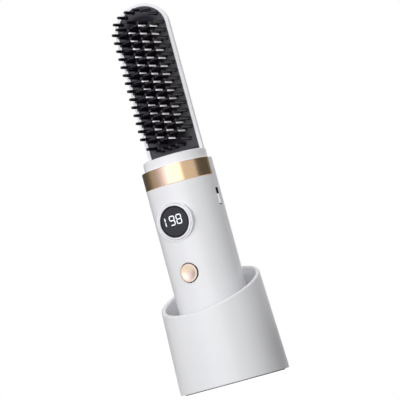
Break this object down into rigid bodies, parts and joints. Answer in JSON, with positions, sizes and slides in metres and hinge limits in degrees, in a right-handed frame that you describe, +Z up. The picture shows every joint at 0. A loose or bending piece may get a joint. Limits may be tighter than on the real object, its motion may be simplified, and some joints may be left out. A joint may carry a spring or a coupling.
{
  "type": "heated styling brush",
  "caption": "Cordless heated styling brush with a domed comb head, bristles and heating fins, round display, dished button and slide switch, standing in a slant-rimmed charging cup.",
  "frame": {"origin": "centre of the stand's foot ring, on the surface that it stands on", "axes": "+Z up along the handle, -Y towards the bristles, display and button, +X towards the slide switch"},
  "size_m": [0.0712, 0.0712, 0.2496],
  "materials": {
    "white_shell": "fine satin moulding",
    "white_bezel": "polished moulding",
    "gold_plate": "gold electroplate over moulded plastic",
    "comb_grey": "dark heat-proof moulding",
    "bristle_black": "heat-proof nylon",
    "fin_metal": "ceramic-glazed, bright",
    "heater_metal": "coated heat spreader",
    "element_ceramic": "sintered ceramic",
    "mica": "mica sheet",
    "spring_steel": "rolled strip",
    "screw_steel": "zinc plated",
    "contact_gold": "gold flash",
    "board_green": "glass-epoxy board",
    "part_black": "moulded component",
    "lens_dark": "smoked window",
    "cell_sleeve": "sleeved lithium cell",
    "cradle_grey": "moulded",
    "inlet_steel": "drawn shell",
    "foot_rubber": "soft ring"
  },
  "bodies": {
    "stand": {"stand_shell": "white_shell", "stand_socket": "white_shell", "stand_cover": "white_shell", "stand_foot_ring": "foot_rubber", "stand_screws": "screw_steel", "charge_board": "board_green", "charge_screws": "screw_steel", "charge_inlet": "inlet_steel", "pin_barrels": "contact_gold"},
    "brush": {"handle_front_shell": "white_shell", "handle_rear_shell": "white_shell", "gold_trim_band": "gold_plate", "handle_end_cap": "white_shell", "end_cap_screws": "screw_steel", "contact_pads": "contact_gold", "neck_collar": "white_shell", "neck_screws": "screw_steel", "head_rear_shell": "white_shell", "head_frame": "white_shell", "comb_plate": "comb_grey", "comb_bristles": "bristle_black", "guard_bristles": "bristle_black", "heating_fins": "fin_metal", "fin_tip_caps": "bristle_black", "heater_plate": "heater_metal", "heater_element": "element_ceramic", "mica_sheet": "mica", "heater_clamp": "spring_steel", "thermal_cutout": "part_black", "heater_screws": "screw_steel", "display_bezel": "white_bezel", "display_lens": "lens_dark", "display_module": "part_black", "control_board": "board_green", "board_screws": "screw_steel", "tact_switch": "part_black", "slide_switch_body": "spring_steel", "battery_cells": "cell_sleeve", "battery_cradle": "cradle_grey"},
    "contact_pin_left": {"contact_pin_left": "contact_gold"},
    "contact_pin_right": {"contact_pin_right": "contact_gold"},
    "power_button": {"power_button": "gold_plate", "tact_plunger": "part_black"},
    "switch_slider": {"switch_slider": "white_shell"}
  },
  "joints": [
    {"name": "brush_lift", "type": "slide", "parent": "stand", "child": "brush", "axis": [0, 0, 1], "range_m": [0, 0.065]},
    {"name": "power_press", "type": "slide", "parent": "brush", "child": "power_button", "axis": [0, 1, 0], "range_m": [0, 0.0008], "stiffness_N_per_m": 400, "springref_m": -0.0005},
    {"name": "switch_slide", "type": "slide", "parent": "brush", "child": "switch_slider", "axis": [0, 0, 1], "range_m": [0, 0.0036]},
    {"name": "pin_left_press", "type": "slide", "parent": "stand", "child": "contact_pin_left", "axis": [0, 0, -1], "range_m": [0, 0.0012], "stiffness_N_per_m": 250, "springref_m": -0.001},
    {"name": "pin_right_press", "type": "slide", "parent": "stand", "child": "contact_pin_right", "axis": [0, 0, -1], "range_m": [0, 0.0012], "stiffness_N_per_m": 250, "springref_m": -0.001}
  ]
}
